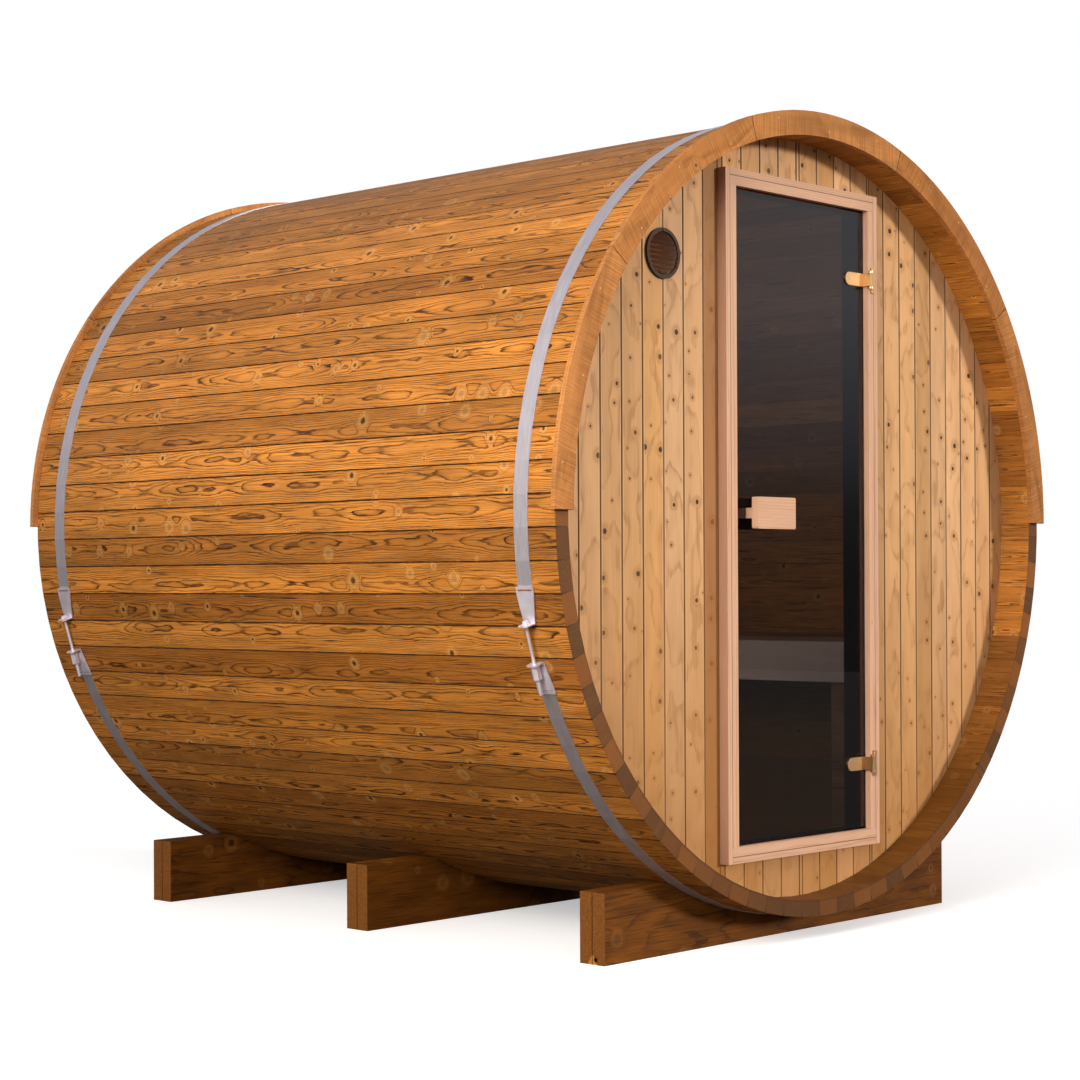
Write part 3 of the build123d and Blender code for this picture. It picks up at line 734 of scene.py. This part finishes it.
# %% Glass material
def glass_material():
    material, tree, shader = new_material("bronze_tinted_glass")
    x, y, z = places(tree)
    smear = grains(tree, x, z, y, (180.0, 120.0, 120.0), 3.0, 0.6)
    rough = add(tree, "MapRange", smear, 0.3, 0.7, 0.0, 0.008)
    feed(tree, shader, {
        "Base Color": "#6a717e", "Transmission Weight": 1.0, "IOR": 1.5, "Roughness": rough})
    return material


dress(glass_material(), "door_glass")

# %% [markdown]
# Steel hoops, their tensioners and the brass hinges
#
# The hoops are rolled stainless strip with a fine drawn finish along the strip. Daylight gives it a cool,
# slightly lilac grey beside the warm wood. The drawn lines are far below a pixel, so they are shown as
# slow streaks of roughness along the strip. Tensioners are machined and hinges brushed to a satin, and
# each has its own size of streak.

# %% Metal materials
def metal_material(name, hex_value, hex_other, rough_low, rough_high, grain_mm):
    material, tree, shader = new_material(name)
    x, y, z = places(tree)
    streak = grains(tree, x, y, z, grain_mm, 3.0, 0.6)
    tone = add(tree, "ValToRGB", streak, stops=((0.3, hex_value), (0.7, hex_other)))
    rough = add(tree, "MapRange", streak, 0.3, 0.7, rough_low, rough_high)
    bump = add(tree, "Bump", {"Height": streak, "Strength": 0.05, "Distance": 0.5 * MM})
    feed(tree, shader, {"Base Color": tone, "Metallic": 1.0, "Roughness": rough, "Normal": bump})
    return material


strip_steel = metal_material("drawn_stainless_strip", "#cdc6cc", "#e2dbe1", 0.52, 0.64, (60.0, 2.5, 60.0))
bright_steel = metal_material("machined_stainless", "#efe8f2", "#f6f1f8", 0.58, 0.66, (30.0, 30.0, 30.0))
satin_brass = metal_material("satin_brass", "#c39c70", "#d8b488", 0.3, 0.4, (2.0, 8.0, 30.0))
dress(strip_steel, "band_front", "band_rear")
dress(bright_steel, "tensioner_front", "tensioner_rear")
dress(satin_brass, "hinge_plates", "hinge_tongues", "hinge_clamps")

# %% [markdown]
# Air valve of moulded plastic
#
# The round valve high in the wall is moulded in dark brown polypropylene with a fine spark-eroded grain.
# That grain keeps its gloss low and soft. It is drawn 0.9 mm wide, wider than the real grit.

# %% Vent material
def vent_material():
    material, tree, shader = new_material("moulded_brown_polypropylene")
    x, y, z = places(tree)
    grit = grains(tree, x, y, z, (0.9, 0.9, 0.9), 2.0, 0.5)
    tone = add(tree, "ValToRGB", grit, stops=((0.3, "#2c1a10"), (0.7, "#412818")))
    bump = add(tree, "Bump", {"Height": grit, "Strength": 0.2, "Distance": 0.4 * MM})
    feed(tree, shader, {"Base Color": tone, "Roughness": 0.55, "Specular IOR Level": 0.3, "Normal": bump})
    return material


dress(vent_material(), "vent_rim", "vent_louvres")

# %% [markdown]
# Screws
#
# The valve hangs on three pan-head screws, and each hinge plate has two. A head is a short cone whose top
# is inset twice: once for the rim, and once more, pushed inwards, for the recess that takes the driver.
# One head is made and copied to each place, and all heads of a kind are one piece.

# %% Make the screws
VENT_SCREW_RADIUS = 4.2 * MM
VENT_SCREW_HEIGHT = 2.0 * MM
VENT_SCREW_IN = 4.5 * MM
VENT_SCREW_TURNS = (90, 210, 330)
HINGE_SCREW_RADIUS = 3.0 * MM
HINGE_SCREW_HEIGHT = 1.4 * MM
HINGE_SCREW_IN = 8.0 * MM
HINGE_SCREW_X = 299.5 * MM
HINGE_PLATE_FRONT = -944.5 * MM
OUT_OF_THE_WALL = Vector((0, -1, 0))
vent_low, vent_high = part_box("vent_rim")
vent_radius = (vent_high[0] - vent_low[0]) / 2
vent_front = Vector(((vent_low[0] + vent_high[0]) / 2, vent_low[1], (vent_low[2] + vent_high[2]) / 2))


def screw_head_mesh(radius, height):
    """One pan head that stands on z = 0 and looks along +Z."""
    shape = bmesh.new()
    bmesh.ops.create_cone(
        shape, cap_ends=True, segments=20, radius1=radius, radius2=radius * 0.8, depth=height)
    bmesh.ops.translate(shape, verts=shape.verts, vec=(0, 0, height / 2))
    top = max(shape.faces, key=lambda face: face.calc_center_median().z)
    bmesh.ops.inset_region(shape, faces=[top], thickness=radius * 0.4)
    bmesh.ops.inset_region(shape, faces=[top], thickness=radius * 0.04, depth=-height * 0.6)
    mesh = bpy.data.meshes.new("screw_head")
    shape.to_mesh(mesh)
    shape.free()
    return mesh


def fit_heads(name, head_places, radius, height, finish):
    """Copies of one head in a single piece, each at its place on the wall."""
    head = screw_head_mesh(radius, height)
    turn = OUT_OF_THE_WALL.to_track_quat("Z", "Y").to_matrix().to_4x4()
    shape = bmesh.new()
    for place in head_places:
        before = len(shape.verts)
        shape.from_mesh(head)
        shape.verts.ensure_lookup_table()
        bmesh.ops.transform(shape, matrix=Matrix.Translation(place) @ turn, verts=shape.verts[before:])
    bpy.data.meshes.remove(head)
    piece = new_object(name, shape)
    piece.data.materials.append(finish)
    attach(piece, "cabin")
    print(name, len(head_places), "heads,", len(piece.data.polygons), "faces")


def on_circle(degrees, radius):
    """A step from the middle of an upright circle to a point on it."""
    turn = math.radians(degrees)
    return radius * Vector((math.cos(turn), 0, math.sin(turn)))


dark_steel = metal_material("blackened_steel_screw", "#4a4038", "#5c5047", 0.4, 0.5, (2.0, 2.0, 2.0))
vent_screws = [vent_front + on_circle(turn, vent_radius - VENT_SCREW_IN) for turn in VENT_SCREW_TURNS]
fit_heads("vent_screws", vent_screws, VENT_SCREW_RADIUS, VENT_SCREW_HEIGHT, dark_steel)

plate_low, plate_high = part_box("hinge_plates")
plate_split = (plate_low[2] + plate_high[2]) / 2
plate_heights = [round(v.co.z, 4) for v in nodes["hinge_plates"].data.vertices]
lower_plate = [z for z in plate_heights if z < plate_split]
upper_plate = [z for z in plate_heights if z > plate_split]
hinge_screws = [
    Vector((HINGE_SCREW_X, HINGE_PLATE_FRONT, z)) for heights in (lower_plate, upper_plate)
    for z in (min(heights) + HINGE_SCREW_IN, max(heights) - HINGE_SCREW_IN)
]
fit_heads("hinge_screws", hinge_screws, HINGE_SCREW_RADIUS, HINGE_SCREW_HEIGHT, satin_brass)

# %% [markdown]
# Fly mesh
#
# Woven wire closes the valve just inside its rim, in front of the louvres. It is a grid whose squares the
# wireframe operator turns into wires, with what lies outside the round hole cut away first. Real fly mesh
# is 1.5 mm fine, which this picture can't show, so it is made about twice as coarse.

# %% Make the fly mesh
MESH_PITCH = 3.2 * MM
MESH_WIRE = 1.2 * MM
MESH_RADIUS = 50 * MM
MESH_IN = 1.2 * MM

wire = bmesh.new()
squares = round(2 * vent_radius / MESH_PITCH)
bmesh.ops.create_grid(wire, x_segments=squares, y_segments=squares, size=vent_radius)
bmesh.ops.delete(wire, geom=[v for v in wire.verts if v.co.length > MESH_RADIUS], context="VERTS")
bmesh.ops.wireframe(
    wire, faces=wire.faces, thickness=MESH_WIRE, use_replace=True, use_boundary=True, use_even_offset=False)
in_rim = Matrix.Translation(vent_front - OUT_OF_THE_WALL * MESH_IN)
bmesh.ops.transform(wire, matrix=in_rim @ Matrix.Rotation(math.radians(90), 4, "X"), verts=wire.verts)
bmesh.ops.recalc_face_normals(wire, faces=wire.faces)
vent_fly_mesh = new_object("vent_fly_mesh", wire)
bronze_wire = metal_material("brown_bronze_wire", "#987058", "#ac866c", 0.5, 0.6, (2.0, 2.0, 2.0))
vent_fly_mesh.data.materials.append(bronze_wire)
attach(vent_fly_mesh, "cabin")
print("fly mesh", len(vent_fly_mesh.data.polygons), "faces")

# %% [markdown]
# Cradles of stained planks
#
# Each cradle is two thick planks side by side, sawn to the barrel's curve and stained dark walnut brown.
# Stain fills the open early wood and the knots, so the pattern is soft and blotchy, and the sawn ends
# have lost some of it and look lighter. Dirt marks the line where the two planks meet. A splinter has
# broken off the front cradle's left end at the foot of that line: fresh wood, and a hole beside it.

# %% Cradle material
STAINED = dict(
    PINE, early="#74430d", early_other="#623608", late="#2a1403", knot_rim="#93602a", knot_core="#241207",
    knot_pale="#6a4522", knot_share=0.34, ring_mm=4.4, knot_cell_mm=90.0, knot_mm=20.0, knot_reach_mm=18.0,
    knot_rise_mm=18.0, knot_dark=0.6, halo=0.4, pith_depth_mm=70.0, wander_mm=(520.0, 160.0, 100.0),
    wander_rise_mm=40.0, line_least=0.15, line_most=0.75, fibre_range=0.3,
    cloud_mm=(160.0, 50.0, 60.0), cloud_range=0.28, board_range=0.14,
    bump=0.25, roughness=0.7, specular=0.15,
)
PLANK_END_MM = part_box("cradle_front_plank_a")[1][0] * TO_MM
SAWN_PLANK_MM = (PLANK_END_MM - 1.5, PLANK_END_MM - 0.5)
PLANK_SPECKLE_MM = (5.0, 5.0, 5.0)
FRONT_PAIR_MM = -(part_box("cradle_front_plank_a")[1][1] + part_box("cradle_front_plank_b")[0][1]) / 2 * TO_MM
CHIP_Y = -838.0
CHIP_HALF = 15.0
CHIP_TAPER = -0.6
CHIP_HOLE = (0.0, CHIP_Y - CHIP_HALF * 0.7, CHIP_HALF * 0.8)
HOLE_EDGE_MM = (6.5, 5.0)
DIRT_EDGE_MM = (1.9, 1.0)


def cradle_material(name, seed):
    material, tree, shader = new_material(name)
    x, y, z = places(tree)
    base = wood(tree, shader, x, z, y, seed, STAINED)
    end = add(tree, "MapRange", add(tree, "Math.ABSOLUTE", x), *SAWN_PLANK_MM)
    speckle = grains(tree, y, z, x, PLANK_SPECKLE_MM, 3.0, 0.7)
    end_tone = add(tree, "ValToRGB", speckle, stops=((0.3, "#6c3f16"), (0.7, "#935c28")))
    base = layer(tree, base, end, 0.8, end_tone)
    # the splinter, and its hole as a disc of painted shade, on the left end alone
    left_end = add(tree, "Math.MULTIPLY", end, add(tree, "Math.LESS_THAN", x, 0.0))
    half_chip = add(tree, "Math.MULTIPLY_ADD", z, CHIP_TAPER, CHIP_HALF)
    off_chip = add(tree, "Math.ABSOLUTE", add(tree, "Math.SUBTRACT", y, CHIP_Y))
    chip = add(tree, "Math.MULTIPLY", add(tree, "Math.LESS_THAN", off_chip, half_chip), left_end)
    base = layer(tree, base, chip, 0.85, "#c9822f")
    off_hole = add(tree, "VectorMath.DISTANCE", add(tree, "CombineXYZ", 0.0, y, z), CHIP_HOLE)
    hole = add(tree, "Math.MULTIPLY", add(tree, "MapRange", off_hole, *HOLE_EDGE_MM), left_end)
    base = layer(tree, base, hole, 1.0, "#0c0603")
    # the dirt line where the two planks meet: at the middle cradle and at the outer two
    off_middle = add(tree, "Math.ABSOLUTE", y)
    off_outer = add(tree, "Math.ABSOLUTE", add(tree, "Math.SUBTRACT", off_middle, FRONT_PAIR_MM))
    dirt = add(tree, "MapRange", add(tree, "Math.MINIMUM", off_outer, off_middle), *DIRT_EDGE_MM)
    feed(tree, shader, {"Base Color": layer(tree, base, dirt, 0.8, "#1d0f06")})
    return material


for count, name in enumerate(sorted(name for name in nodes if name.startswith("cradle_"))):
    dress(cradle_material(f"stained_plank_{count + 1}", 0.137 + 0.157 * count), name)

# %% [markdown]
# Bench of aspen
#
# The bench inside is made of light aspen boards, which stay cool to sit on, over darker heat-treated
# bearers and legs. Seen through the glass it gives the dark room its lightest lines.

# %% Bench materials
ASPEN = dict(ALDER, early="#d6b48c", early_other="#b58a5c", late="#b08860", board_range=0.3)
BEARER = dict(PINE, early="#9a6a3c", early_other="#8a5a30", late="#5a3418", board_range=0.2)
SLAT_MM = 100.0


def bench_material(name, look):
    material, tree, shader = new_material(name)
    x, y, z = places(tree)
    slat = add(tree, "Math.ROUND", add(tree, "Math.DIVIDE", x, SLAT_MM))
    seed = add(tree, "TexWhiteNoise", {"W": slat}, noise_dimensions="1D")
    feed(tree, shader, {"Base Color": wood(tree, shader, y, x, z, seed, look)})
    return material


dress(bench_material("planed_aspen", ASPEN), "bench_slats", "bench_apron")
dress(bench_material("heat_treated_bearer", BEARER), "bench_legs", "bench_bearers")

# %% [markdown]
# Floor and sky
#
# The photograph was cut out on white. The sky is bright above and dim near the ground, as it would be
# with houses and trees around, so that the glass reflects little and keeps its depth. What the camera
# sees of sky and floor stays plain and pale: both ask whether the ray comes from the camera, which only
# the stage may do, as it is no part of the sauna.

# %% Floor
FLOOR_HALF = 14.0
FLOOR_GLOW = 0.45


def floor_material():
    material, tree, shader = new_material("pale_studio_floor")
    x, y, z = places(tree)
    cloth = grains(tree, x, y, z, (40.0, 40.0, 40.0), 2.0, 0.5)
    pale = add(tree, "ValToRGB", cloth, stops=((0.3, "#f6f6f6"), (0.7, "#fafafa")))
    ray = add(tree, "LightPath").outputs
    unseen = add(tree, "Mix.RGBA", {"Factor": ray["Is Glossy Ray"], "A": "#66615b", "B": "#564f47"})
    tone = add(tree, "Mix.RGBA", {"Factor": ray["Is Camera Ray"], "A": unseen, "B": pale})
    glow = add(tree, "Math.MULTIPLY", ray["Is Camera Ray"], FLOOR_GLOW)
    feed(tree, shader, {
        "Base Color": tone, "Roughness": 0.9, "Emission Color": "#ffffff", "Emission Strength": glow})
    return material


floor_shape = bmesh.new()
bmesh.ops.create_grid(floor_shape, x_segments=4, y_segments=4, size=FLOOR_HALF)
floor = new_object("floor", floor_shape)
floor.data.materials.append(floor_material())
print("floor", 2 * FLOOR_HALF, "m wide")

# %% [markdown]
# The sky is a ramp from the horizon to the top. Below the horizon it has the tone of the horizon itself.

# %% Sky
SKY_TONES = (
    (0.0, "#4a4745"), (0.03, "#5e5c5b"), (0.12, "#c8c7ca"), (0.2, "#cccccf"), (0.5, "#bcbec2"),
    (1.0, "#a6a8ac"),
)
world = bpy.data.worlds.new("studio")
world.use_nodes = True
sky = world.node_tree
sky.nodes.clear()
direction = add(sky, "SeparateXYZ", add(sky, "TexCoord").outputs["Generated"])
sky_tone = add(sky, "ValToRGB", direction.outputs["Z"], stops=SKY_TONES)
sky_light = add(sky, "Background", {"Color": sky_tone, "Strength": 1.0})
sky_seen = add(sky, "Background", {"Color": "#ffffff", "Strength": 1.0})
sky_ray = add(sky, "LightPath").outputs["Is Camera Ray"]
add(sky, "OutputWorld", {"Surface": add(sky, "MixShader", sky_ray, sky_light, sky_seen)})
bpy.context.scene.world = world
bpy.context.scene.view_settings.view_transform = "Standard"
print("sky in", len(SKY_TONES), "tones")

# %% [markdown]
# Lamps
#
# A low soft sun stands in front and to the right: the lip of the barrel throws a soft crescent of shade
# on the right of the wall, and the underside stays dark. The staves on the left are lit by two large
# lamps, a high one and a nearer one, as open sky would light them. A last lamp gives the daylight that
# comes through the tinted door into the room, and no lens or mirror sees it.

# %% Lamps
def lamp(name, kind, place, target, power, size, hex_value):
    """A soft lamp that looks from its place at a target."""
    data = bpy.data.lights.new(name, kind)
    data.energy = power
    data.color = colour(hex_value)[:3]
    if kind == "SUN":
        data.angle = size
    else:
        data.size = size
    thing = bpy.data.objects.new(name, data)
    bpy.context.scene.collection.objects.link(thing)
    thing.location = place
    thing.rotation_euler = (Vector(target) - Vector(place)).to_track_quat("-Z", "Y").to_euler()
    return thing


lamp("key", "SUN", (2.6, -5.2, 2.2), (0, 0, 1.0), 2.1, math.radians(8), "#fff3e2")
lamp("fill", "AREA", (-5.2, -2.6, 3.4), (-0.8, -0.5, 1.1), 180.0, 3.0, "#fffaf2")
lamp("side", "AREA", (-4.2, -1.7, 2.0), (-0.9, -0.9, 1.1), 82.0, 1.5, "#fff6ea")
room = lamp("room", "AREA", (-0.5, -0.45, 1.0), (0.9, 0.2, 0.8), 13.0, 0.5, "#e2dcea")
room.visible_camera = False
room.visible_glossy = False
room.visible_transmission = False
